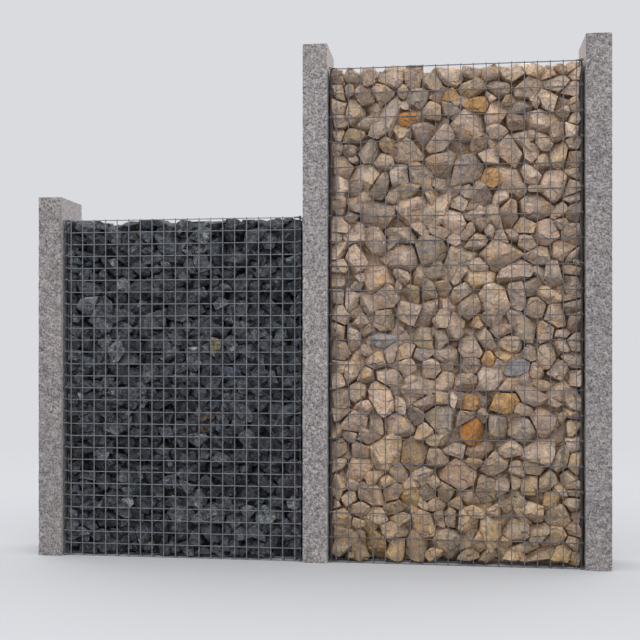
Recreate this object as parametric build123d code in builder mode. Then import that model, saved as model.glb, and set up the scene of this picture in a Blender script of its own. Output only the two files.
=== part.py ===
from build123d import *
import os
from collections import namedtuple

# Gabion wall of two bays: a low and a tall welded wire basket, filled with stones and open at the
# top, between three granite posts. All sizes are in millimetres. X runs along the wall, Y from front
# to back, Z up. The origin is on the ground, at the middle of the wall's length and thickness.

# Granite posts, with sawn sides and split front and back faces
post_width = 100
post_depth = 250
low_post_height = 1500
tall_post_height = 2100
post_edge_break = 6
split_crown = 5

# Wire baskets
basket_width = 1000
basket_depth = 200
basket_gap = 10
low_basket_height = 1400
tall_basket_height = 2000
upright_pitch = 50
low_row_pitch = 50
tall_row_pitch = 100
wire = 4
upright_overhang = 2

# Corner rods, with tops bent over towards the nearest upright
rod = 6
rod_bend = 8
rod_clearance = 2

# Stone fill
fill_clearance = 0.3
fill_corner = 6
fill_settle = 5

# Places along the wall, from the left
wall_length = 3 * post_width + 2 * basket_width + 4 * basket_gap
bay_step = post_width + basket_width + 2 * basket_gap
left_post_x = (post_width - wall_length) / 2

Bay = namedtuple("Bay", "name middle height row_pitch")
low_bay = Bay("low_bay", left_post_x + bay_step / 2, low_basket_height, low_row_pitch)
tall_bay = Bay("tall_bay", left_post_x + 1.5 * bay_step, tall_basket_height, tall_row_pitch)

# Middles of the wires, from the middle of a basket. Uprights lie outside the rows. The rods stand
# outside the corners, against the rows of both panels that they join.
face_upright_y = (basket_depth - wire) / 2
face_row_y = face_upright_y - wire
rod_x = (basket_width - rod) / 2
rod_y = face_row_y + (wire + rod) / 2
end_row_x = rod_x - (wire + rod) / 2
end_upright_x = end_row_x + wire


def save(piece, name):
    """Label a finished piece and write its file."""
    piece.part.label = name
    export_step(piece.part, f"parts/{name}.step")


def upright_count(length):
    """How many uprights stand along a panel, half a mesh in from each end."""
    return round(length / upright_pitch)


def last_upright(length):
    """How far the last upright of a panel stands from the panel's middle."""
    return (upright_count(length) - 1) * upright_pitch / 2


def row_count(bay):
    """How many horizontal wires a basket has from its base to its top."""
    return round(bay.height / bay.row_pitch) + 1


def mesh_height(bay):
    """Height of a basket in whole meshes."""
    return (row_count(bay) - 1) * bay.row_pitch


def row_middle(bay):
    """Height of the middle of a basket's front and back rows."""
    return (wire + mesh_height(bay)) / 2


def make_post(name, middle, height):
    """A granite post: flat sawn sides, crowned split faces and broken top edges."""
    half_width = post_width / 2
    edge_y = post_depth / 2 - split_crown
    with BuildPart() as post:
        with BuildSketch(Plane(origin=(middle, 0, 0))):
            with BuildLine():
                front = ThreePointArc((-half_width, -edge_y), (0, -post_depth / 2), (half_width, -edge_y))
                back = ThreePointArc((-half_width, edge_y), (0, post_depth / 2), (half_width, edge_y))
                Line(front @ 0, back @ 0)
                Line(front @ 1, back @ 1)
            make_face()
        extrude(amount=height)
        chamfer(post.faces().sort_by(Axis.Z)[-1].edges(), post_edge_break)
    save(post, name)


def make_face_mesh(bay, side, outwards):
    """The wires of a front or back panel: the rows with both edge uprights, and the uprights between."""
    height = mesh_height(bay) + wire + upright_overhang
    with BuildPart() as rows:
        with BuildSketch(Plane.YZ.offset(bay.middle - basket_width / 2)):
            with Locations((outwards * face_row_y, row_middle(bay))):
                with GridLocations(bay.row_pitch, bay.row_pitch, 1, row_count(bay)):
                    Rectangle(wire, wire)
        extrude(amount=basket_width)
        with BuildSketch():
            with Locations((bay.middle, outwards * face_upright_y)):
                with GridLocations(2 * last_upright(basket_width), upright_pitch, 2, 1):
                    Rectangle(wire, wire)
        extrude(amount=height)
    save(rows, f"{bay.name}_{side}_rows")
    with BuildPart() as uprights:
        with BuildSketch():
            with Locations((bay.middle, outwards * face_upright_y)):
                with GridLocations(upright_pitch, upright_pitch, upright_count(basket_width) - 2, 1):
                    Rectangle(wire, wire)
        extrude(amount=height)
    save(uprights, f"{bay.name}_{side}_uprights")


def make_end_mesh(bay, side, outwards):
    """An end panel, whose rows lie one wire above the front and back rows at the corners."""
    row_length = 2 * rod_y - rod
    with BuildPart() as end:
        with BuildSketch(Plane.XZ.offset(-row_length / 2)):
            with Locations((bay.middle + outwards * end_row_x, row_middle(bay) + wire)):
                with GridLocations(bay.row_pitch, bay.row_pitch, 1, row_count(bay)):
                    Rectangle(wire, wire)
        extrude(amount=row_length)
        with BuildSketch():
            with Locations((bay.middle + outwards * end_upright_x, 0)):
                with GridLocations(upright_pitch, upright_pitch, 1, upright_count(basket_depth)):
                    Rectangle(wire, wire)
        extrude(amount=mesh_height(bay) + 2 * wire + upright_overhang)
    save(end, f"{bay.name}_{side}_mesh")


def make_base(bay):
    """The base: short wires between the front and back rows, with long wires lying on them."""
    with BuildPart() as base:
        with BuildSketch():
            with Locations((bay.middle, 0)):
                with GridLocations(upright_pitch, upright_pitch, upright_count(basket_width), 1):
                    Rectangle(wire, 2 * face_row_y - wire)
        extrude(amount=wire)
        with BuildSketch(Plane.XY.offset(wire)):
            with Locations((bay.middle, 0)):
                with GridLocations(upright_pitch, upright_pitch, 1, upright_count(basket_depth) - 1):
                    Rectangle(2 * end_row_x - wire, wire)
        extrude(amount=wire)
    save(base, f"{bay.name}_base_mesh")


def make_rods(bay):
    """The four corner rods, each with its top bent over beside the top row."""
    arm_height = mesh_height(bay) + wire / 2
    arm_end = last_upright(basket_width) + wire / 2 + rod_clearance
    for face, y in (("front", -rod_y), ("back", rod_y)):
        for end, outwards in (("left", -1), ("right", 1)):
            x = bay.middle + outwards * rod_x
            with BuildPart() as corner_rod:
                with BuildLine() as route:
                    FilletPolyline(
                        (x, y, 0),
                        (x, y, arm_height),
                        (bay.middle + outwards * arm_end, y, arm_height),
                        radius=rod_bend,
                    )
                with BuildSketch(Plane(origin=(x, y, 0))):
                    RegularPolygon(rod / 2, 8, major_radius=False, rotation=22.5)
                sweep(path=route.line)
            save(corner_rod, f"{bay.name}_{face}_{end}_rod")


def make_fill(bay, name):
    """The packed stones as one closed block, standing on the base and clear of the panels."""
    half_length = end_row_x - wire / 2 - fill_clearance
    half_depth = face_row_y - wire / 2 - fill_clearance
    base_depth = 2 * wire
    with BuildPart() as fill:
        with BuildSketch(Plane.XY.offset(base_depth)):
            with Locations((bay.middle, 0)):
                Rectangle(2 * half_length, 2 * half_depth)
        extrude(amount=mesh_height(bay) - base_depth - fill_settle)
        chamfer(fill.edges().filter_by(Axis.Z), fill_corner)
    save(fill, name)


os.makedirs("parts", exist_ok=True)

make_post("left_post", left_post_x, low_post_height)
make_post("middle_post", left_post_x + bay_step, tall_post_height)
make_post("right_post", left_post_x + 2 * bay_step, tall_post_height)

make_fill(low_bay, "dark_stone_fill")
make_fill(tall_bay, "tan_stone_fill")

for bay in (low_bay, tall_bay):
    make_face_mesh(bay, "front", -1)
    make_face_mesh(bay, "back", 1)
    make_end_mesh(bay, "left_end", -1)
    make_end_mesh(bay, "right_end", 1)
    make_base(bay)
    make_rods(bay)
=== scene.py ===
from collections import namedtuple
from itertools import combinations, product
from math import cos, pi, radians, sin, tau

import bpy
import numpy as np
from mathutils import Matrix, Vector


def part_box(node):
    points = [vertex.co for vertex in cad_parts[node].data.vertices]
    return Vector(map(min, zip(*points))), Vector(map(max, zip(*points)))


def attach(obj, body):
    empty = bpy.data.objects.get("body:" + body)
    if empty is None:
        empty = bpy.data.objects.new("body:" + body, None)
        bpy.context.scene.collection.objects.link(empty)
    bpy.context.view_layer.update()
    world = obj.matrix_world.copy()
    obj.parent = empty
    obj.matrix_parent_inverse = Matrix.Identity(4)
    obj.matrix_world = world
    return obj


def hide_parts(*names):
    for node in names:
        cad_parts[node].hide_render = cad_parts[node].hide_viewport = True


bl_info = {
    "name": "Gabion wall dressing",
    "version": (1, 0, 0),
    "blender": (4, 5, 0),
    "location": "View3D > Sidebar > Gabion",
    "description": "Builds the split posts, the wire baskets and their stones round the packed frame",
    "category": "Object",
}

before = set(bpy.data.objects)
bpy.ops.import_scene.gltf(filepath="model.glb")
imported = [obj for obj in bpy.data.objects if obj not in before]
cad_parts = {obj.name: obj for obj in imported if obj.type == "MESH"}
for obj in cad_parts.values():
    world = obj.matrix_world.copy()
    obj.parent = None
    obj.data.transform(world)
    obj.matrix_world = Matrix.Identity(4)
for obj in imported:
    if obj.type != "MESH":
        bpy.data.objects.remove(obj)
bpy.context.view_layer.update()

# The photograph's frame in pixels, and the camera that fits its wires
PHOTO_SIZE = 640
CAMERA_PLACE = (0.559, -4.193, 0.891)
CAMERA_YAW = 7.517
CAMERA_FOCAL = 1016.68
CAMERA_RISE = 22.73
SENSOR = 36.0

# Colours: the floor as light meets it and as the camera sees it, the sky, the plain backdrop, and the
# tint that changes nothing
FLOOR_LIT = (0.22, 0.22, 0.23)
FLOOR_SEEN = (0.46, 0.463, 0.48)
SKY = (0.97, 0.985, 1.0)
BACKDROP = (0.701, 0.708, 0.738)
PLAIN = (1.0, 1.0, 1.0)

# Welded wire, in metres: half thicknesses, pitches, the basket's size, and the places of the rods and
# rows from its middle
WIRE = 0.002
ROD = 0.003
UPRIGHT_PITCH = 0.05
ROW_PITCH = {"low_bay": 0.05, "tall_bay": 0.1}
OVERHANG = 0.006
BASKET_LENGTH = 1.0
BASKET_DEPTH = 0.2
ROD_X = 0.497
ROD_Y = 0.099
ROW_Y = 0.094
END_ROW_X = 0.492
ROD_BEND = 0.008
ROD_ARM_X = 0.479

# How far an eye turns round its rod, in how many steps, and how many sides a wire and a rod have
EYE_TURN = radians(160)
EYE_STEPS = 7
WIRE_SIDES = 6
ROD_SIDES = 8

# Stones: the six ways to the walls, a limit beyond every stone, how many neighbours may cut a stone and
# how near its middle, how many facets of its own it has, and how far stones press out at the ends
WALLS = np.array([(-1, 0, 0), (1, 0, 0), (0, -1, 0), (0, 1, 0), (0, 0, -1), (0, 0, 1)], float)
FAR = 9.0
NEIGHBOURS = 10
NEAREST = 0.004
FACETS = 7
BULGE = 0.008

# Sizes as shares of the middling stone, within how many half widths of a wall stones show, and how much
# fuller the others are
SMALLEST = 0.45
LARGEST = 1.9
SHOWN = 1.4
FULLER = 1.25

# Packing: its rounds, how often the near pairs are found anew, how far apart pairs may be to push and to
# cut each other, how close stones come, what share of an overlap one round clears, how much of a stone
# the walls keep inside, and how much its wall facets lean
ROUNDS = 110
PAIR_ROUNDS = 10
PUSH_REACH = 1.1
CUT_REACH = 1.4
CROWDING = 0.95
PUSH = 0.35
KEPT_INSIDE = (0.72, 0.90, 0.80)
TILT = 0.45

# Stones that stand out: their depth as a share of their lesser side, the room and the rise they get, and
# their gap to the front
NOTABLE_DEPTH = 0.8
NOTABLE_ROOM = 1.1
NOTABLE_RISE = 1.05
FRONT_GAP = 0.002

# What a style says of a basket's stones:
# spread, shape, turn: how much sizes vary, the ranges of the half widths, how far stones turn
# heap, corner, heart: the rise over the fill's box, and the sizes of the corner and the inner stones
# gap, overlap: the gaps between stones that show, and the overlap of hidden ones
# chips, scatter, shy: how deep and how unevenly facets cut, how far stones stay off the walls
# bevel, swell, smooth: the bevels' widths or None, how far flat facets swell, the smooth angle
# tone, facet_tone, worn: how light stones are, how much facets vary, how light bevels are
# grime_and_shade, grime_and_shade_height, drift: the tint near the ground (dirt on the tan stones, painted
# shade on the dark stones), how high it goes, the slow change of tone

# Posts: the grid's cell on the split face, how far its edges wrap round and fall back, from what share of
# the width an edge begins, and what share of its waves the rest of the face takes
CELL = 0.0065
WRAP = 0.012
CROWN = 0.005
EDGE_FROM = 0.49
SIDE_WEIGHT = 0.35

# A stone that stands out, with its turn in degrees
Notable = namedtuple("Notable", "x z wide high turn colour")


def colour_setting(name, description, default):
    """A colour among the settings."""
    return bpy.props.FloatVectorProperty(name=name, description=description, default=default, size=3,
                                         subtype="COLOR")


def length_setting(name, description, default, low, high):
    """A length among the settings."""
    return bpy.props.FloatProperty(name=name, description=description, default=default, min=low, max=high,
                                   unit="LENGTH")


def count_setting(name, description, default):
    """A number of stones among the settings."""
    return bpy.props.IntProperty(name=name, description=description, default=default, min=10, max=5000)


class PostSettings(bpy.types.PropertyGroup):
    """The granite posts."""

    colour: colour_setting("Granite", "Ground colour of the posts", (0.305, 0.279, 0.275))
    relief: length_setting("Split relief", "Depth of the hollows on the split faces", 0.006, 0, 0.02)


class WireSettings(bpy.types.PropertyGroup):
    """The galvanised wire."""

    low_colour: colour_setting("Low bay wire", "Colour of the low basket's newer zinc",
                               (0.214, 0.227, 0.254))
    tall_colour: colour_setting("Tall bay wire", "Colour of the tall basket's duller zinc",
                                (0.17, 0.165, 0.175))
    # The corner rods' dark colour is painted shade: it stands in for the shadowed gap between basket and
    # post
    rod_shade_colour: colour_setting("Corner rods", "Colour of the dark corner rods", (0.045, 0.045, 0.05))


class TanSettings(bpy.types.PropertyGroup):
    """The limestone in the tall bay."""

    size: length_setting("Tan stone size", "Half width of a middling tan stone", 0.036, 0.01, 0.2)
    count: count_setting("Tan stones", "How many stones fill the tall basket", 1050)
    colour: colour_setting("Limestone", "Ground colour of the tan stones", (0.444, 0.342, 0.271))


class DarkSettings(bpy.types.PropertyGroup):
    """The basalt in the low bay."""

    size: length_setting("Dark stone size", "Half width of a middling dark stone", 0.028, 0.01, 0.2)
    count: count_setting("Dark stones", "How many stones fill the low basket", 1550)
    colour: colour_setting("Basalt", "Ground colour of the dark stones", (0.072, 0.0725, 0.084))


# Shader helpers


class Tree:
    """A node tree with short ways to add nodes, each from sockets or constants."""

    def __init__(self, tree):
        self.nodes = tree.nodes
        self.links = tree.links

    def fill(self, node, given):
        """Link or set some inputs of a node, by name or place."""
        for place, value in dict(given).items():
            entry = node.inputs[place]
            if isinstance(value, bpy.types.NodeSocket):
                self.links.new(value, entry)
            elif entry.type == "RGBA":
                entry.default_value = (*value, 1)
            else:
                entry.default_value = value

    def add(self, kind, given=(), **settings):
        """A node with some of its settings and inputs; this gives back its outputs."""
        node = self.nodes.new(kind)
        for name, value in settings.items():
            setattr(node, name, value)
        self.fill(node, given)
        return node.outputs

    def mix(self, share, low, high, blend="MIX"):
        """One colour mixed with another."""
        return self.add("ShaderNodeMix", {0: share, 6: low, 7: high}, data_type="RGBA", blend_type=blend)[2]

    def times(self, body, tint):
        """One colour multiplied by another."""
        return self.mix(1.0, body, tint, "MULTIPLY")

    def mix_shaders(self, share, first, second):
        """One shader mixed with another."""
        return self.add("ShaderNodeMixShader", enumerate((share, first, second)))[0]

    def maths(self, operation, *given):
        """The result of a Math node."""
        return self.add("ShaderNodeMath", enumerate(given), operation=operation)[0]

    def vectors(self, operation, *given):
        """The outputs of a Vector Math node."""
        return self.add("ShaderNodeVectorMath", enumerate(given), operation=operation)

    def scaled(self, value, low, high, to_low, to_high):
        """A value carried from one range to another, and held inside it."""
        return self.add("ShaderNodeMapRange", enumerate((value, low, high, to_low, to_high)))[0]

    def noise(self, place, scale, detail, rough):
        """A noise texture's value."""
        return self.add("ShaderNodeTexNoise", {"Vector": place, "Scale": scale, "Detail": detail,
                                               "Roughness": rough})[0]

    def bump(self, height, depth, strength=1.0, normal=None):
        """A bump node's normal, with its depth in metres."""
        given = {"Height": height, "Distance": depth, "Strength": strength}
        if normal is not None:
            given["Normal"] = normal
        return self.add("ShaderNodeBump", given)[0]

    def attribute(self, name):
        """The outputs of a mesh attribute's node."""
        return self.add("ShaderNodeAttribute", attribute_name=name)

    def group(self, group, **given):
        """The outputs of a group node."""
        return self.add("ShaderNodeGroup", given, node_tree=group)

    def place(self):
        """The Object coordinates."""
        return self.add("ShaderNodeTexCoord")["Object"]


def new_group(name, numbers, results):
    """A group that takes a place and some numbers, with its tree, its inputs and its result node."""
    group = bpy.data.node_groups.new(name, "ShaderNodeTree")
    group.interface.new_socket("Place", in_out="INPUT", socket_type="NodeSocketVector")
    for way, titles in (("INPUT", numbers), ("OUTPUT", results)):
        for title in titles:
            group.interface.new_socket(title, in_out=way, socket_type="NodeSocketFloat")
    tree = Tree(group)
    return group, tree, tree.add("NodeGroupInput"), tree.nodes.new("NodeGroupOutput")


def mineral_grain():
    """The group for mineral grain: two sizes of crystal as a tint and a height."""
    if "mineral_grain" in bpy.data.node_groups:
        return bpy.data.node_groups["mineral_grain"]
    group, tree, entry, result = new_group("mineral_grain", ("Coarse", "Fine", "Depth"), ("Tint", "Height"))
    coarse = tree.noise(entry["Place"], entry["Coarse"], 4, 0.6)
    fine = tree.noise(entry["Place"], entry["Fine"], 3, 0.6)
    both = tree.maths("ADD", coarse, fine)
    tint = tree.maths("MULTIPLY_ADD", both, entry["Depth"], tree.maths("SUBTRACT", 1.0, entry["Depth"]))
    tree.fill(result, {"Tint": tint, "Height": both})
    return group


def chipped_relief():
    """The group for broken relief: cells that each lean their own way, as a height in metres."""
    if "chipped_relief" in bpy.data.node_groups:
        return bpy.data.node_groups["chipped_relief"]
    group, tree, entry, result = new_group("chipped_relief", ("Scale", "Softness"), ("Height",))
    cells = tree.add("ShaderNodeTexVoronoi", {"Vector": entry["Place"], "Scale": entry["Scale"],
                                              "Smoothness": entry["Softness"]}, feature="SMOOTH_F1")
    inside = tree.vectors("SUBTRACT", entry["Place"], cells["Position"])["Vector"]
    lean = tree.vectors("SUBTRACT", cells["Color"], (0.5, 0.5, 0.5))["Vector"]
    tree.fill(result, {"Height": tree.vectors("DOT_PRODUCT", inside, lean)["Value"]})
    return group


def new_material(name):
    """A material with its tree and its Principled shader."""
    material = bpy.data.materials.new(name)
    material.use_nodes = True
    tree = Tree(material.node_tree)
    return material, tree, tree.nodes["Principled BSDF"]


def zinc_material(name, colour):
    """Weathered galvanised wire: dull grey with a faint bloom."""
    material, tree, shader = new_material(name)
    grain = tree.group(mineral_grain(), Place=tree.place(), Coarse=35.0, Fine=260.0, Depth=1.1)
    tree.fill(shader, {"Base Color": tree.times(colour, grain["Tint"]), "Metallic": 0.25, "Roughness": 0.6,
                       "Normal": tree.bump(grain["Height"], 0.0002)})
    return material


def granite_material(colour):
    """Granite: pinkish grey feldspar with pale quartz and black mica, lighter and plainer where sawn."""
    material, tree, shader = new_material("split_granite")
    place = tree.place()
    grain = tree.group(mineral_grain(), Place=place, Coarse=48.0, Fine=150.0, Depth=1.7)
    body = tree.times(colour, grain["Tint"])
    mica = tree.scaled(tree.noise(place, 130, 2, 0.5), 0.39, 0.48, 0.7, 0.0)
    body = tree.mix(mica, body, 0.25 * colour)
    quartz = tree.scaled(tree.noise(place, 95, 2, 0.5), 0.56, 0.66, 0.0, 0.7)
    body = tree.mix(quartz, body, 1.7 * colour)
    cloud = tree.noise(place, 6, 3, 0.5)
    body = tree.times(body, tree.mix(cloud, (0.84, 0.86, 0.90), (1.16, 1.13, 1.10)))
    sawn = tree.mix(0.55, tree.times(body, (1.24, 1.22, 1.21)), 1.25 * colour)
    body = tree.mix(tree.attribute("sawn")["Fac"], body, sawn)
    body = tree.times(body, tree.attribute("post_tone")["Fac"])
    tree.fill(shader, {"Base Color": body, "Roughness": 0.85,
                       "Normal": tree.bump(grain["Height"], 0.004, 0.9)})
    return material


def stone_material(name, stain, blush, pale, coarse, fine, depth, cells, lean, soft, roughness):
    """Broken stone: each stone has its own colour, tone and place in the pattern."""
    material, tree, shader = new_material(name)
    place = tree.vectors("ADD", tree.place(), tree.attribute("stone_shift")["Vector"])["Vector"]
    grain = tree.group(mineral_grain(), Place=place, Coarse=coarse, Fine=fine, Depth=depth)
    chips = tree.group(chipped_relief(), Place=place, Scale=cells, Softness=soft)
    body = tree.times(tree.attribute("stone_kind")["Color"], grain["Tint"])
    body = tree.times(body, tree.attribute("stone_tone")["Fac"])
    for colour, scale, low, high, share in ((stain, 17, 0.50, 0.66, 0.8), (blush, 26, 0.50, 0.66, 0.8),
                                            (pale, 70, 0.56, 0.68, 0.7)):
        patch = tree.scaled(tree.noise(place, scale, 3, 0.6), low, high, 0.0, share)
        body = tree.mix(patch, body, tree.times(body, colour))
    rough = tree.bump(chips["Height"], lean)
    tree.fill(shader, {"Base Color": body, "Roughness": roughness,
                       "Normal": tree.bump(grain["Height"], 0.005, 0.8, rough)})
    return material


# Piece helpers


def only(piece):
    """Make a piece the one that is selected and active."""
    bpy.ops.object.select_all(action="DESELECT")
    piece.select_set(True)
    bpy.context.view_layer.objects.active = piece


def finish(piece, slot, *nodes):
    """Make a piece ride on the wall, and hide the parts it stands for; its slot is not used."""
    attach(piece, "root")
    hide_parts(*nodes)


def array_piece(name, points, faces, material, smooth_angle):
    """A piece from arrays of points and triangles or quads, at the origin."""
    mesh = bpy.data.meshes.new(name)
    mesh.from_pydata(points, [], faces)
    mesh.materials.append(material)
    piece = bpy.data.objects.new(name, mesh)
    bpy.context.scene.collection.objects.link(piece)
    only(piece)
    bpy.ops.object.shade_smooth_by_angle(angle=radians(smooth_angle))
    return piece


def keep_values(mesh, name, values, kind="FLOAT", domain="POINT", field="value"):
    """Keep values on a mesh's points or faces, for its material to read."""
    made = mesh.attributes.new(name, kind, domain)
    made.data.foreach_set(field, np.asarray(values, np.float32).ravel())


# Wire


def wire_tube(route, radius, sides):
    """Points and faces of a round wire along a route, with flat ends."""
    route = np.array(route, float)
    ahead = np.gradient(route, axis=0)
    ahead /= np.linalg.norm(ahead, axis=1)[:, None]
    side = np.cross(ahead[0], (0.31, 0.52, 0.79))
    points = []
    for place, way in zip(route, ahead):
        side = side - way * side.dot(way)
        side /= np.linalg.norm(side)
        other = np.cross(way, side)
        for step in range(sides):
            turn = tau * step / sides
            points.append(place + radius * (cos(turn) * side + sin(turn) * other))
    faces = []
    for ring in range(len(route) - 1):
        for step in range(sides):
            a = ring * sides + step
            b = ring * sides + (step + 1) % sides
            faces.append((a, b, b + sides, a + sides))
    last = (len(route) - 1) * sides
    faces.append(tuple(reversed(range(sides))))
    faces.append(tuple(range(last, last + sides)))
    return points, faces


def join_wires(routes):
    """Wires along many routes as one list of points and one of faces."""
    points, faces = [], []
    for route in routes:
        start = len(points)
        wire_points, wire_faces = wire_tube(route, WIRE, WIRE_SIDES)
        points.extend(wire_points)
        faces.extend(tuple(start + v for v in face) for face in wire_faces)
    return points, faces


def eye_route(end_x, end_y, turn_from, way):
    """The loop of a row round a corner rod, from the angle where the row touches it."""
    turns = [turn_from + way * EYE_TURN * step / EYE_STEPS for step in range(1, EYE_STEPS + 1)]
    return [(end_x + (ROD + WIRE) * cos(turn), end_y + (ROD + WIRE) * sin(turn)) for turn in turns]


def face_row(middle, outwards, height):
    """A front or back row, with an eye round the rod at each end."""
    y = outwards * ROW_Y
    right = eye_route(ROD_X, outwards * ROD_Y, -outwards * pi / 2, outwards)
    left = [(-px, py) for px, py in reversed(right)]
    return [(middle + px, py, height) for px, py in left + [(-ROD_X, y), (ROD_X, y)] + right]


def end_row(middle, outwards, height):
    """An end row, with an eye round the front and the back rod."""
    x = outwards * END_ROW_X
    back = eye_route(outwards * ROD_X, ROD_Y, pi / 2 + outwards * pi / 2, -outwards)
    front = [(px, -py) for px, py in reversed(back)]
    return [(middle + px, py, height) for px, py in front + [(x, -ROD_Y), (x, ROD_Y)] + back]


def mesh_place(bay):
    """The middle of a bay's mesh along the wall, and its height."""
    low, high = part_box(f"{bay}_front_uprights")
    return (low[0] + high[0]) / 2, high[2] - OVERHANG


def upright_places(length):
    """Middles of the uprights of a panel, from the panel's middle."""
    count = round(length / UPRIGHT_PITCH)
    return [(step - (count - 1) / 2) * UPRIGHT_PITCH for step in range(count)]


def panel_routes(bay, side):
    """Routes of the rows and uprights of one panel."""
    middle, height = mesh_place(bay)
    on_face = side in ("front", "back")
    outwards = -1 if side in ("front", "left_end") else 1
    row, length, lift = (face_row, BASKET_LENGTH, 0) if on_face else (end_row, BASKET_DEPTH, 2 * WIRE)
    routes = []
    for step in range(round(height / ROW_PITCH[bay]) + 1):
        level = WIRE + step * ROW_PITCH[bay]
        routes.append(row(middle, outwards, level + lift))
    for place in upright_places(length):
        x, y = place, outwards * (ROW_Y + 2 * WIRE)
        if not on_face:
            x, y = outwards * (END_ROW_X + 2 * WIRE), place
        routes.append(((middle + x, y, 0.0), (middle + x, y, height + OVERHANG + lift)))
    return routes


def base_routes(bay):
    """Routes of the base's short wires, and of the long ones lying on them."""
    middle, _ = mesh_place(bay)
    reach_y, reach_x = ROW_Y - WIRE, END_ROW_X - WIRE
    routes = []
    for place in upright_places(BASKET_LENGTH):
        x = middle + place
        routes.append(((x, -reach_y, WIRE), (x, reach_y, WIRE)))
    for y in (-UPRIGHT_PITCH, 0.0, UPRIGHT_PITCH):
        routes.append(((middle - reach_x, y, 3 * WIRE), (middle + reach_x, y, 3 * WIRE)))
    return routes


def rod_tube(bay, face, end):
    """A corner rod with its top bent over beside the top row."""
    middle, height = mesh_place(bay)
    across = -1 if end == "left" else 1
    y = -ROD_Y if face == "front" else ROD_Y
    arm = height + WIRE
    route = [(ROD_X, 0.0), (ROD_X, arm - ROD_BEND)]
    for step in range(1, 5):
        turn = step * pi / 8
        route.append((ROD_X - ROD_BEND * (1 - cos(turn)), arm - ROD_BEND * (1 - sin(turn))))
    route.append((ROD_ARM_X, arm))
    return wire_tube([(middle + across * x, y, z) for x, z in route], ROD, ROD_SIDES)


# Stones


def unit(rows):
    """Rows of vectors, each at length one."""
    return rows / np.linalg.norm(rows, axis=-1, keepdims=True)


def dots(one, two):
    """Dot products of rows of vectors."""
    return (one * two).sum(axis=-1)


def spread_ways(count):
    """Evenly spread unit directions."""
    index = np.arange(count) + 0.5
    polar = np.arccos(1 - 2 * index / count)
    turn = pi * (1 + 5 ** 0.5) * index
    return np.stack([np.cos(turn) * np.sin(polar), np.sin(turn) * np.sin(polar), np.cos(polar)], 1)


def turn_matrices(angles):
    """Rotation matrices for rows of angles about X, Y and Z."""
    result = np.tile(np.eye(3), (len(angles), 1, 1))
    for axis in range(3):
        c, s = np.cos(angles[:, axis]), np.sin(angles[:, axis])
        one = np.tile(np.eye(3), (len(angles), 1, 1))
        i, j = (axis + 1) % 3, (axis + 2) % 3
        one[:, i, i], one[:, i, j], one[:, j, i], one[:, j, j] = c, -s, s, c
        result = one @ result
    return result


def near_pairs(centres, reach):
    """Every pair of stones near enough to touch."""
    size = (centres ** 2).sum(axis=1)
    gap = size[:, None] + size[None] - 2 * centres @ centres.T
    return np.nonzero(np.triu(gap < (reach[:, None] + reach[None]) ** 2, 1))


def pair_reach(way, squeeze, *pair):
    """How far each stone of a pair reaches towards the other."""
    return [1 / np.sqrt(np.einsum("ni,nij,nj->n", way, squeeze[each], way)) for each in pair]


def settle(low, high, centres, halves, squeeze, spread, fixed):
    """Push overlapping stones apart until they pack the basket."""
    extent = np.sqrt(np.einsum("nii->ni", spread)) * KEPT_INSIDE
    count = len(centres)
    for step in range(ROUNDS):
        if step % PAIR_ROUNDS == 0:
            first, second = near_pairs(centres, PUSH_REACH * halves.max(1))
        apart = centres[second] - centres[first]
        distance = np.linalg.norm(apart, axis=1) + 1e-9
        way = apart / distance[:, None]
        one, two = pair_reach(way, squeeze, first, second)
        push = np.maximum(0, CROWDING * (one + two) - distance)[:, None] * way * PUSH
        for axis in range(3):
            centres[:, axis] += np.where(fixed, 0, np.bincount(second, push[:, axis], count)
                                         - np.bincount(first, push[:, axis], count))
        centres = np.where(fixed[:, None], centres, np.clip(centres, low + extent, high - extent))
    return centres


def neighbour_planes(centres, squeeze, spread, halves, gap, rng):
    """For each stone, the nearest planes that part it from its neighbours."""
    first, second = near_pairs(centres, CUT_REACH * halves.max(1))
    apart = centres[second] - centres[first]
    distance = np.linalg.norm(apart, axis=1)
    way = apart / distance[:, None]
    one, two = pair_reach(way, squeeze, first, second)
    normal = unit(sum(unit(np.einsum("nij,nj->ni", squeeze[each], way)) for each in (first, second)))
    share = distance * one / (one + two)
    slope = dots(normal, way)
    space = rng.uniform(*gap, len(first)) / 2
    owner = np.concatenate([first, second])
    normals = np.concatenate([normal, -normal])
    reach = np.concatenate([share * slope - space, (distance - share) * slope - space])
    support = np.sqrt(np.einsum("ni,nij,nj->n", normals, spread[owner], normals))
    order = np.lexsort((reach / support, owner))
    owner, normals, reach = owner[order], normals[order], reach[order]
    rank = np.arange(len(owner)) - np.searchsorted(owner, owner)
    kept = rank < NEIGHBOURS
    ways = np.tile((0.0, 0.0, 1.0), (len(centres), NEIGHBOURS, 1))
    limits = np.full((len(centres), NEIGHBOURS), FAR)
    ways[owner[kept], rank[kept]] = normals[kept]
    limits[owner[kept], rank[kept]] = reach[kept]
    return ways, limits


def own_planes(spread, style, rng):
    """For each stone, the planes of its own broken facets."""
    count = len(spread)
    turns = turn_matrices(rng.uniform(0, tau, (count, 3)))
    chips = np.einsum("nij,cj->nci", turns, spread_ways(FACETS))
    ways = unit(chips + rng.normal(0, style["scatter"], chips.shape))
    support = np.sqrt(np.einsum("nci,nij,ncj->nc", ways, spread, ways))
    return ways, support * rng.uniform(*style["chips"], support.shape)


def wall_planes(centres, low, high, style, rng):
    """For each stone, the nearest wall along each axis, and a leaning plane inside it."""
    to_low, to_high = centres - low, high - centres
    side = np.where(to_low < to_high, -1.0, 1.0)
    ways = side[:, :, None] * np.eye(3)
    limits = np.minimum(to_low, to_high)
    lean = rng.normal(0, 1, ways.shape) * TILT * (ways == 0)
    leaning = unit(ways + lean * np.array((0.7, 1, 1))[:, None])
    shy = rng.uniform(0, 1, limits.shape) * np.array(style["shy"])
    return np.concatenate([ways, leaning], 1), np.concatenate([limits, limits - shy], 1)


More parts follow.
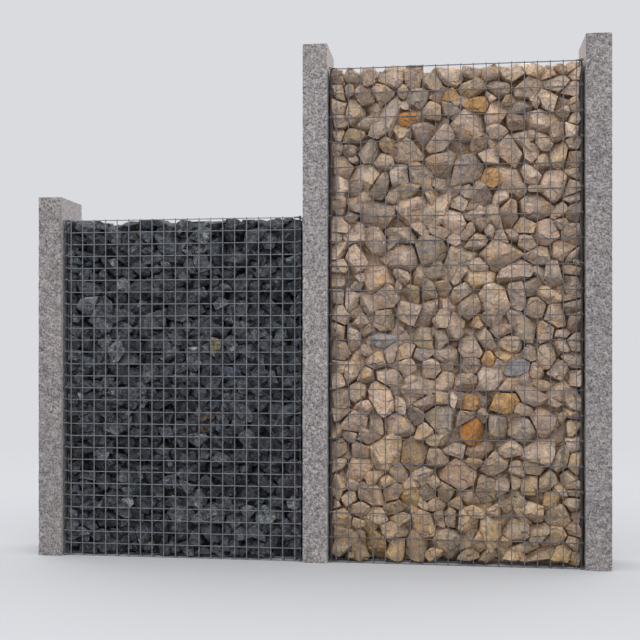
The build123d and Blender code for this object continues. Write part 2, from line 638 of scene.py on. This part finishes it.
def cut_stones(ways, limits):
    """Corners of all stones, each with its stone, its three planes and the sense they turn in."""
    triples = np.array(list(combinations(range(limits.shape[1]), 3)))
    found = []
    for start in range(0, len(ways), 60):
        normal, reach = ways[start:start + 60], limits[start:start + 60]
        one, two, three = (normal[:, triples[:, k]] for k in range(3))
        first, second, third = (reach[:, triples[:, k], None] for k in range(3))
        across = np.cross(two, three)
        size = dots(one, across)
        proper = abs(size) > 1e-3
        corners = first * across + second * np.cross(three, one) + third * np.cross(one, two)
        corners /= np.where(proper, size, 1)[:, :, None]
        inside = proper & (corners @ normal.transpose(0, 2, 1) <= reach[:, None] + 1e-7).all(axis=2)
        stone, triple = np.nonzero(inside)
        found.append((start + stone, triples[triple], corners[stone, triple], size[stone, triple] > 0))
    return [np.concatenate(each) for each in zip(*found)]


def heart_stones(low, high, pitch, rng):
    """Middles and half sizes of stones deep in the fill, close enough together to shut out light."""
    across, up = (np.linspace(start, end, round((end - start) / pitch) + 1) for start, end in (
        (low[0] + 0.4 * pitch, high[0] - 0.4 * pitch), (low[2] + 0.5 * pitch, high[2] - 0.8 * pitch)))
    places = np.stack(np.meshgrid(across, up), 2).reshape(-1, 2)
    centres = np.zeros((len(places), 3))
    centres[:, (0, 2)] = places + rng.normal(0, 0.08 * pitch, places.shape)
    return centres, pitch * np.array((0.75, 0.4, 0.75)) * rng.uniform(0.9, 1.1, centres.shape)


def corner_stacks(low, high, size, rng):
    """Middles and half sizes of the stones stacked up each upright corner of the basket."""
    stones = []
    for x, inwards in ((low[0], 1), (high[0], -1)):
        for y, backwards in ((low[1], 1), (high[1], -1)):
            z = low[2]
            while z < high[2] - 0.5 * size:
                half = size * rng.uniform(0.55, 1.25, 3)
                inset = rng.uniform(0.3, 1.0) * half[0]
                rise = min(z + half[2], high[2] - 0.7 * half[2])
                stones.append(((x + inwards * inset, y + backwards * 0.9 * half[1], rise), half))
                z += 1.65 * half[2]
    return stones


def slow_drift(centres, rng):
    """A slow change of tone through the fill, as from one load of stones to the next."""
    waves = rng.normal(0, 12, (8, 3))
    return np.cos(centres @ waves.T + rng.uniform(0, tau, 8)).sum(axis=1) / 2


def stone_mesh(ways, limits, bevel, swell, rng):
    """Points with their stones, and faces with their bevel marks, of stones cut by planes."""
    stone, planes, corners, turning = cut_stones(ways, limits)
    plane = (stone[:, None] * limits.shape[1] + planes).ravel()
    corner = np.repeat(np.arange(len(corners)), 3)
    number = np.bincount(plane, minlength=limits.size)
    middle = np.stack([np.bincount(plane, corners[corner, k], limits.size) for k in range(3)], 1)
    middle /= np.maximum(number, 1)[:, None]
    normals = ways.reshape(-1, 3)
    normal = normals[plane]
    out = corners[corner] - middle[plane]
    side = unit(np.cross(np.where(abs(normal[:, :1]) < 0.6, (1, 0, 0), (0, 1, 0)), normal))
    order = np.lexsort((np.arctan2(dots(out, np.cross(normal, side)), dots(out, side)), plane))
    plane, corner, out = plane[order], corner[order], out[order]
    first, last = np.searchsorted(plane, plane), np.searchsorted(plane, plane, side="right") - 1
    here = np.arange(len(plane))
    after = np.where(here == last, first, here + 1)
    proper = number[plane] > 2
    mean = np.bincount(plane, np.linalg.norm(out, axis=1), limits.size) / np.maximum(number, 1)
    if bevel is None:
        used = np.nonzero(number > 2)[0]
        lift = mean[used] * rng.uniform(*swell, len(used))
        centres = middle[used] + normals[used] * lift[:, None]
        hub = np.zeros(limits.size, int)
        hub[used] = len(corners) + np.arange(len(used))
        faces = np.stack([corner, corner[after], hub[plane]], 1)[proper].tolist()
        owners = np.concatenate([stone, used // limits.shape[1]])
        return np.concatenate([corners, centres]), owners, faces, np.zeros(len(faces))
    rings = [list(ring) for ring in np.split(here, np.nonzero(here == first)[0][1:]) if len(ring) > 2]
    owners = stone[corner]
    points = corners[corner] - out * np.minimum(0.45, bevel[owners] / mean[plane])[:, None]
    low, high = np.minimum(corner, corner[after]), np.maximum(corner, corner[after])
    pairs = np.lexsort((high, low))
    pairs = pairs[proper[pairs]]
    one, two = pairs[:-1], pairs[1:]
    match = (low[one] == low[two]) & (high[one] == high[two])
    one, two = one[match], two[match]
    quads = np.stack([after[one], one, after[two], two], 1).tolist()
    place = np.empty(len(order), int)
    place[order] = here
    caps = place.reshape(-1, 3)
    caps = np.where(turning[:, None], caps, caps[:, ::-1]).tolist()
    marks = np.repeat((0.0, 1.0), (len(rings), len(quads) + len(caps)))
    return points, owners, rings + quads + caps, marks


def stone_piece(name, places, mesh, kinds, material, style, rng):
    """One piece of many stones, each with its colour and pattern shift, each face with its tone."""
    points, owners, faces, bevelled = mesh
    piece = array_piece(name, (places[owners] + points).tolist(), faces, material, style["smooth"])
    shifts = rng.uniform(-5, 5, (len(places), 3))[owners]
    colours = np.ones((len(owners), 4))
    colours[:, :3] = kinds[owners]
    tones = np.where(bevelled > 0, style["worn"], np.exp(rng.normal(0, style["facet_tone"], len(faces))))
    keep_values(piece.data, "stone_shift", shifts, "FLOAT_VECTOR", field="vector")
    keep_values(piece.data, "stone_tone", tones, domain="FACE")
    keep_values(piece.data, "stone_kind", colours, "FLOAT_COLOR", field="color")
    return piece


def loose_stones(low, high, settings, style, palette, rng):
    """Middles, half sizes, turns and colours of stones strewn through the basket."""
    size, count = settings.size, settings.count
    sizes = np.clip(rng.lognormal(np.log(size), style["spread"], count), SMALLEST * size, LARGEST * size)
    halves = sizes[:, None] * np.stack([rng.uniform(*pair, count) for pair in style["shape"]], 1)
    angles = rng.normal(0, 1, (count, 3)) * style["turn"]
    centres = rng.uniform(low, high, (count, 3))
    shares, tints = (np.array(each, float) for each in zip(*palette))
    kinds = np.array(settings.colour) * tints[rng.choice(len(palette), count, p=shares / shares.sum())]
    kinds = kinds * rng.uniform(0.98, 1.02, (count, 3)) * rng.uniform(*style["tone"], (count, 1))
    return centres, halves, angles, kinds


def fill_basket(name, node, slot, settings, style, palette, notables, material, seed):
    """Pack one basket with stones, in a front, a core and a back piece."""
    count = settings.count
    rng = np.random.default_rng(seed)
    low, high = (np.array(corner, float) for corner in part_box(node))
    low[0] -= BULGE
    high += (BULGE, 0, style["heap"])
    centres, halves, angles, kinds = loose_stones(low, high, settings, style, palette, rng)
    for number, stone in enumerate(notables):
        depth = NOTABLE_DEPTH * min(stone.wide, stone.high)
        halves[number] = np.array((stone.wide, depth, stone.high)) / 2 * NOTABLE_ROOM
        angles[number] = (0, radians(stone.turn), 0)
        centres[number] = (stone.x, low[1] + depth / 2 + FRONT_GAP, stone.z)
        kinds[number] = stone.colour
    stacked = corner_stacks(low, high, style["corner"], rng)
    for number, (middle, half) in enumerate(stacked, len(notables)):
        centres[number], halves[number] = middle, half
    corner_part = slice(len(notables), len(notables) + len(stacked))
    fixed = np.arange(count) < corner_part.stop
    turns = turn_matrices(angles)
    squeeze = np.einsum("nij,nj,nkj->nik", turns, halves ** -2.0, turns)
    spread = np.einsum("nij,nj,nkj->nik", turns, halves ** 2.0, turns)
    centres = settle(low, high, centres, halves, squeeze, spread, fixed)

    # Colours: a tint near the ground, which is dirt on the tan stones and painted shade that darkens the
    # dark stones towards the bottom, and a slow change through the fill
    near_ground = np.clip(1 - (centres[:, 2:] - low[2]) / style["grime_and_shade_height"], 0, 1)
    kinds = kinds * (1 + near_ground * (np.array(style["grime_and_shade"]) - 1))
    kinds = kinds * np.exp(style["drift"] * slow_drift(centres, np.random.default_rng(seed)))[:, None]

    # Planes: from the neighbours, the stone's own facets and the walls; the hidden heart stones come last
    near_ways, near_limits = neighbour_planes(centres, squeeze, spread, halves, style["gap"], rng)
    heart, heart_halves = heart_stones(low, high, style["heart"], rng)
    centres = np.concatenate([centres, heart])
    spread = np.concatenate([spread, heart_halves[:, :, None] ** 2 * np.eye(3)])
    sides = np.arange(NEIGHBOURS) % len(WALLS)
    near_ways = np.concatenate([near_ways, np.tile(WALLS[sides], (len(heart), 1, 1))])
    near_limits = np.concatenate([near_limits, heart_halves[:, sides // 2]])
    kinds = np.concatenate([kinds, kinds[rng.integers(0, count, len(heart))]])
    own_ways, own_limits = own_planes(spread, style, rng)
    wall_ways, wall_limits = wall_planes(centres, low, high, style, rng)
    wall_limits[:len(notables), 2::3] = NOTABLE_RISE * halves[:len(notables), 2:]

    # The stones that show keep their gaps, and the hidden ones are fuller and overlap
    extent = np.sqrt(np.einsum("nii->ni", spread))
    outer = np.minimum(centres - low, high - centres) < SHOWN * extent
    at_base = centres[:, 2] < (low[2] + high[2]) / 2
    fine = outer[:, 0] | outer[:, 1] | (outer[:, 2] & ~at_base)
    fine[count:] = False
    near_limits[:count][~fine[:count]] += style["overlap"]
    own_limits[~fine] *= FULLER
    own_limits[corner_part] *= FULLER
    ways = np.concatenate([near_ways, own_ways, wall_ways], 1)
    limits = np.maximum(np.concatenate([near_limits, own_limits, wall_limits], 1), NEAREST)
    before = centres[:, 1] < (low[1] + high[1]) / 2
    for layer, chosen in (("front", fine & before), ("core", ~fine), ("back", fine & ~before)):
        index = np.nonzero(chosen)[0]
        bevel = rng.uniform(*style["bevel"], len(index)) if style["bevel"] and layer != "core" else None
        mesh = stone_mesh(ways[index], limits[index], bevel, style["swell"], rng)
        piece = stone_piece(f"{name}_{layer}", centres[index], mesh, kinds[index], material, style, rng)
        finish(piece, slot, node)


# Posts


def cloud_texture(name, scale, depth):
    """A cloud texture, made at its first use."""
    texture = bpy.data.textures.get(name) or bpy.data.textures.new(name, "CLOUDS")
    texture.noise_scale = scale
    texture.noise_depth = depth
    return texture


def extruded_post(low, high):
    """A post from a grid: its front face extruded back in three steps."""
    wide, deep, tall = high - low
    bpy.ops.object.select_all(action="DESELECT")
    bpy.ops.mesh.primitive_grid_add(x_subdivisions=round(wide / CELL), y_subdivisions=round(tall / CELL),
                                    size=1, location=((low.x + high.x) / 2, low.y, tall / 2),
                                    rotation=(pi / 2, 0, 0))
    post = bpy.context.object
    post.scale = (wide, tall, 1)
    bpy.ops.object.transform_apply(location=True, rotation=True, scale=True)
    bpy.ops.object.mode_set(mode="EDIT")
    for step in (WRAP, deep - 2 * WRAP, WRAP):
        bpy.ops.mesh.extrude_region_move(TRANSFORM_OT_translate={"value": (0, step, 0)})
    bpy.ops.mesh.select_all(action="SELECT")
    bpy.ops.mesh.normals_make_consistent(inside=False)
    bpy.ops.object.mode_set(mode="OBJECT")
    return post


def split_post(node, relief):
    """A post with rough split faces, wavy edges and a broken top."""
    low, high = (Vector(corner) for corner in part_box(node))
    wide, deep, tall = high - low
    post = extruded_post(low, high)
    post.name = node.replace("post", "split_post")
    mesh = post.data
    middle = (low.x + high.x) / 2
    groups = {title: post.vertex_groups.new(name=title) for title in ("split", "edge", "crest")}
    for vertex in mesh.vertices:
        x, y, z = vertex.co
        depth = min(y - low.y, high.y - y)
        on_face = depth < 1e-4
        edge = SIDE_WEIGHT if depth < 1.1 * WRAP else 0.0
        if on_face and abs(x - middle) > EDGE_FROM * wide:
            edge = 1.0
        for title, weight in (("split", on_face), ("edge", edge), ("crest", z > tall - 0.5 * CELL)):
            if weight:
                groups[title].add([vertex.index], float(weight), "REPLACE")
    only(post)
    broad = cloud_texture("broad_split", 0.045, 3)
    grit = cloud_texture("grit_split", 0.016, 2)
    for title, texture, group, axis, strength in (
            ("broad", broad, "split", "Y", relief), ("grit", grit, "split", "Y", 0.7 * relief),
            ("wave", grit, "edge", "X", 1.2 * relief), ("crest", broad, "crest", "Z", relief)):
        lift = post.modifiers.new(title, "DISPLACE")
        lift.texture = texture
        lift.texture_coords = "LOCAL"
        lift.direction = axis
        lift.vertex_group = group
        lift.mid_level = 0.5
        lift.strength = strength
        bpy.ops.object.modifier_apply(modifier=title)
    for vertex in mesh.vertices:
        x, y, z = vertex.co
        inset = relief / 2 + CROWN * ((x - middle) / (wide / 2)) ** 2
        if abs(y) > deep / 2 - 0.6 * WRAP:
            y -= inset if y > 0 else -inset
        vertex.co = (min(max(x, low.x), high.x), min(max(y, low.y), high.y), min(z, high.z))
    bpy.ops.object.shade_smooth_by_angle(angle=radians(55))
    post.vertex_groups.clear()
    depths = np.array([min(v.co.y - low.y, high.y - v.co.y) for v in mesh.vertices])
    keep_values(mesh, "sawn", depths > 0.8 * WRAP)
    return post


# Stage


def pale_floor():
    """The floor's material: grey round the wall, and further out the backdrop's colour to the camera."""
    material, tree, shader = new_material("pale_floor")
    seen = tree.add("ShaderNodeLightPath")["Is Camera Ray"]
    tree.fill(shader, {"Base Color": tree.mix(seen, FLOOR_LIT, FLOOR_SEEN), "Roughness": 0.95})
    far = tree.scaled(tree.vectors("LENGTH", tree.place())["Value"], 2.0, 5.0, 0.0, 1.0)
    plain = tree.add("ShaderNodeEmission", {"Color": BACKDROP})[0]
    mixed = tree.mix_shaders(tree.maths("MULTIPLY", far, seen), shader.outputs[0], plain)
    tree.fill(tree.nodes["Material Output"], {0: mixed})
    return material


def overcast():
    """The world: a cloudy sky, brighter above and to both sides, behind the plain backdrop."""
    world = bpy.data.worlds.new("overcast")
    world.use_nodes = True
    world.node_tree.nodes.clear()
    tree = Tree(world.node_tree)
    way = tree.add("ShaderNodeSeparateXYZ", {0: tree.add("ShaderNodeTexCoord")["Generated"]})
    above = tree.scaled(way["Z"], 0.0, 1.0, 0.88, 1.68)
    aside = tree.scaled(tree.maths("ABSOLUTE", way["X"]), 0.0, 1.0, 0.4, 2.2)
    strength = tree.maths("MULTIPLY", above, aside)
    sky = tree.add("ShaderNodeBackground", {"Color": SKY, "Strength": strength})[0]
    backdrop = tree.add("ShaderNodeBackground", {"Color": BACKDROP})[0]
    rays = tree.add("ShaderNodeLightPath")
    seen = tree.maths("MAXIMUM", rays["Is Camera Ray"], rays["Is Glossy Ray"])
    tree.add("ShaderNodeOutputWorld", {0: tree.mix_shaders(seen, sky, backdrop)})
    return world


def placed(name, data, location):
    """An object in the scene, at its place."""
    made = bpy.data.objects.new(name, data)
    made.location = location
    bpy.context.scene.collection.objects.link(made)
    return made


# The add-on's steps


class GABION_OT_posts(bpy.types.Operator):
    """Build the three posts, with split fronts and backs and sawn sides"""

    bl_idname = "gabion.posts"
    bl_label = "Granite posts"

    def execute(self, context):
        settings = context.scene.gabion_posts
        material = granite_material(np.array(settings.colour))
        for name, tone in (("left_post", 0.92), ("middle_post", 1.03), ("right_post", 0.94)):
            piece = split_post(name, settings.relief)
            keep_values(piece.data, "post_tone", np.full(len(piece.data.vertices), tone))
            piece.data.materials.append(material)
            finish(piece, "split_granite", name)
        return {"FINISHED"}


class GABION_OT_baskets(bpy.types.Operator):
    """Build the baskets from round galvanised wire, with their corner rods"""

    bl_idname = "gabion.baskets"
    bl_label = "Wire baskets"

    def execute(self, context):
        settings = context.scene.gabion_wire
        # The rods' dark zinc is painted shade for the shadowed gap beside the posts
        dark = zinc_material("corner_rods", settings.rod_shade_colour)
        for bay, colour in (("low_bay", settings.low_colour), ("tall_bay", settings.tall_colour)):
            slot = f"{bay}_wire"
            material = zinc_material(slot, colour)
            for side in ("front", "back", "left_end", "right_end", "base"):
                routes = base_routes(bay) if side == "base" else panel_routes(bay, side)
                piece = array_piece(f"{bay}_{side}_panel", *join_wires(routes), material, 60)
                if side in ("front", "back"):
                    finish(piece, slot, f"{bay}_{side}_rows", f"{bay}_{side}_uprights")
                else:
                    finish(piece, slot, f"{bay}_{side}_mesh")
            for face, end in product(("front", "back"), ("left", "right")):
                rod = rod_tube(bay, face, end)
                piece = array_piece(f"{bay}_{face}_{end}_corner_rod", *rod, dark, 60)
                finish(piece, slot, f"{bay}_{face}_{end}_rod")
        return {"FINISHED"}


class GABION_OT_tan_stones(bpy.types.Operator):
    """Pack the tall basket with tan limestone"""

    bl_idname = "gabion.tan_stones"
    bl_label = "Tan stones"

    def execute(self, context):
        settings = context.scene.gabion_tan
        base = np.array(settings.colour)
        palette = ((60, PLAIN), (14, (1.0, 0.98, 0.9)), (12, (0.92, 0.95, 0.99)),
                   (8, (1.02, 0.98, 0.94)), (3, (0.97, 0.88, 0.68)), (3, (1.2, 1.2, 1.2)))
        ochre, orange, blue_grey = (1.0, 0.78, 0.45), (1.05, 0.62, 0.25), (0.72, 0.88, 1.12)
        notables = [Notable(*place, base * tint) for *place, tint in (
            (0.61, 1.763, 0.15, 0.11, 0, (1.15, 1.15, 1.15)), (0.756, 0.651, 0.125, 0.085, 0, ochre),
            (0.618, 0.646, 0.105, 0.06, 0, (1.1, 0.85, 0.55)), (0.634, 0.538, 0.088, 0.1, 20, orange),
            (0.507, 0.581, 0.14, 0.12, 0, (0.9, 0.95, 1.0)),
            (0.507, 0.496, 0.145, 0.04, 3, (0.95, 0.95, 0.8)),
            (0.386, 0.261, 0.095, 0.075, 0, (0.95, 0.88, 0.6)),
            (0.787, 0.464, 0.08, 0.075, 0, (1.25, 1.3, 1.3)),
            (0.57, 0.357, 0.165, 0.098, 0, (1.0, 0.92, 0.88)), (0.697, 0.826, 0.055, 0.055, 0, ochre),
            (0.665, 1.849, 0.055, 0.075, 0, ochre), (0.697, 1.557, 0.06, 0.08, 0, ochre),
            (0.546, 1.885, 0.06, 0.06, 0, ochre), (0.358, 1.795, 0.052, 0.046, 0, orange),
            (0.269, 0.902, 0.11, 0.06, 0, blue_grey), (0.811, 0.794, 0.09, 0.06, 0, blue_grey),
            (0.312, 1.963, 0.125, 0.085, 4, PLAIN), (0.392, 1.962, 0.085, 0.08, -6, PLAIN))]
        style = {"spread": 0.34, "shape": ((0.9, 1.55), (0.75, 1.0), (0.58, 1.1)), "turn": (0.3, 1.1, 0.3),
                 "heap": 0.014, "corner": 0.04, "heart": 0.075, "gap": (-0.002, 0.009), "overlap": 0.012,
                 "chips": (0.66, 1.13), "scatter": 0.6, "shy": (0.005, 0.02, 0.02),
                 "bevel": (0.0015, 0.005), "swell": (0.0, 0.1), "smooth": 40,
                 "tone": (0.75, 1.2), "facet_tone": 0.07, "worn": 1.14,
                 "grime_and_shade": (0.96, 0.91, 0.76), "grime_and_shade_height": 0.6, "drift": 0.06}
        material = stone_material(
            "tan_limestone", stain=(1.0, 0.86, 0.6), blush=(1.06, 0.95, 0.88), pale=(1.45, 1.45, 1.42),
            coarse=34.0, fine=130.0, depth=1.4, cells=32.0, lean=0.5, soft=0.5, roughness=0.9)
        fill_basket("tan_stones", "tan_stone_fill", "tan_limestone", settings, style, palette, notables,
                    material, 11)
        return {"FINISHED"}


class GABION_OT_dark_stones(bpy.types.Operator):
    """Pack the low basket with dark basalt"""

    bl_idname = "gabion.dark_stones"
    bl_label = "Dark stones"

    def execute(self, context):
        settings = context.scene.gabion_dark
        palette = ((60, PLAIN), (14, (0.96, 1.03, 1.0)), (12, (0.97, 0.99, 1.04)),
                   (12, (1.5, 1.53, 1.42)), (3, (1.8, 1.85, 1.72)))
        notables = [Notable(*row) for row in (
            (-0.851, 1.225, 0.024, 0.038, 6, (0.27, 0.28, 0.28)),
            (-0.82, 1.137, 0.06, 0.05, 0, (0.24, 0.25, 0.25)),
            (-0.907, 0.424, 0.08, 0.045, 0, (0.2, 0.2, 0.25)),
            (-0.456, 0.583, 0.06, 0.04, 0, (0.17, 0.12, 0.09)),
            (-0.799, 0.224, 0.05, 0.05, 0, (0.22, 0.23, 0.23)),
            (-0.208, 0.187, 0.09, 0.07, 0, (0.15, 0.17, 0.166)),
            (-0.485, 1.333, 0.08, 0.06, 0, (0.125, 0.14, 0.143)),
            (-0.418, 0.882, 0.05, 0.055, 10, (0.2, 0.18, 0.11)),
            (-0.511, 0.865, 0.05, 0.014, 4, (0.42, 0.43, 0.45)),
            # This small pale stone is a painted highlight: a glint given as a stone's colour
            (-0.346, 0.868, 0.016, 0.015, 0, (0.36, 0.37, 0.39)),
            (-1.038, 1.231, 0.09, 0.06, 0, (0.1, 0.109, 0.108)),
            (-0.375, 0.768, 0.13, 0.045, 0, (0.085, 0.09, 0.125)),
            (-0.405, 1.05, 0.07, 0.05, 0, (0.17, 0.18, 0.22)),
            (-0.477, 0.538, 0.035, 0.03, 0, (0.17, 0.13, 0.09)))]
        style = {"spread": 0.4, "shape": ((1.0, 1.7), (0.65, 1.0), (0.42, 0.85)), "turn": (0.6, 0.6, 0.7),
                 "heap": 0.01, "corner": 0.032, "heart": 0.055, "gap": (-0.002, 0.002), "overlap": 0.014,
                 "chips": (0.6, 1.12), "scatter": 0.5, "shy": (0.005, 0.013, 0.02),
                 "bevel": None, "swell": (-0.06, 0.08), "smooth": 12,
                 "tone": (0.58, 1.42), "facet_tone": 0.17, "worn": 1.0,
                 # The grey tint near the ground is painted shade: it darkens the dark stones towards the
                 # bottom, so the top ones look lit from above
                 "grime_and_shade": (0.8, 0.8, 0.8), "grime_and_shade_height": 1.5, "drift": 0.13}
        material = stone_material(
            "dark_basalt", stain=(0.94, 1.0, 0.92), blush=(0.45, 0.45, 0.46), pale=(2.1, 2.15, 2.2),
            coarse=75.0, fine=210.0, depth=3.4, cells=40.0, lean=1.6, soft=0.0, roughness=0.42)
        fill_basket("dark_stones", "dark_stone_fill", "dark_basalt", settings, style, palette, notables,
                    material, 12)
        return {"FINISHED"}


class GABION_OT_stage(bpy.types.Operator):
    """Set the floor, the light and the camera"""

    bl_idname = "gabion.stage"
    bl_label = "Stage"

    def execute(self, context):
        scene = context.scene
        scene.view_settings.view_transform = "Standard"
        bpy.ops.object.select_all(action="DESELECT")
        bpy.ops.mesh.primitive_plane_add(size=80, location=(0, 0, 0))
        floor = context.object
        floor.name = "floor"
        floor.data.materials.append(pale_floor())
        scene.world = overcast()

        lamp = bpy.data.lights.new("sky_patch", "AREA")
        lamp.shape = "DISK"
        lamp.size = 4.0
        lamp.energy = 60
        lamp_object = placed("sky_patch", lamp, (0.4, -3.6, 5.6))
        target = Vector((0, 0, 1.0)) - Vector(lamp_object.location)
        lamp_object.rotation_euler = target.to_track_quat("-Z", "Y").to_euler()

        camera = bpy.data.cameras.new("camera")
        camera.sensor_width = SENSOR
        camera.lens = CAMERA_FOCAL * SENSOR / PHOTO_SIZE
        camera.shift_y = CAMERA_RISE / PHOTO_SIZE
        scene.camera = placed("camera", camera, CAMERA_PLACE)
        scene.camera.rotation_euler = (pi / 2, 0, radians(CAMERA_YAW))
        return {"FINISHED"}


class GABION_PT_sidebar(bpy.types.Panel):
    """The steps that dress the wall"""

    bl_label = "Gabion wall"
    bl_idname = "GABION_PT_sidebar"
    bl_space_type = "VIEW_3D"
    bl_region_type = "UI"
    bl_category = "Gabion"

    def draw(self, context):
        for title in GROUPS:
            settings = getattr(context.scene, title)
            for name in settings.bl_rna.properties.keys():
                if name not in ("rna_type", "name"):
                    self.layout.prop(settings, name)
        for step in STEPS:
            self.layout.operator(step.bl_idname)


GROUPS = {"gabion_posts": PostSettings, "gabion_wire": WireSettings, "gabion_tan": TanSettings,
          "gabion_dark": DarkSettings}
STEPS = (GABION_OT_posts, GABION_OT_baskets, GABION_OT_tan_stones, GABION_OT_dark_stones, GABION_OT_stage)
CLASSES = (*GROUPS.values(), *STEPS, GABION_PT_sidebar)


def register():
    for each in CLASSES:
        bpy.utils.register_class(each)
    for title, group in GROUPS.items():
        setattr(bpy.types.Scene, title, bpy.props.PointerProperty(type=group))


def unregister():
    for title in GROUPS:
        delattr(bpy.types.Scene, title)
    for each in reversed(CLASSES):
        bpy.utils.unregister_class(each)


def main():
    register()
    bpy.ops.gabion.posts()
    bpy.ops.gabion.baskets()
    bpy.ops.gabion.tan_stones()
    bpy.ops.gabion.dark_stones()
    bpy.ops.gabion.stage()


if __name__ == "__main__":
    main()
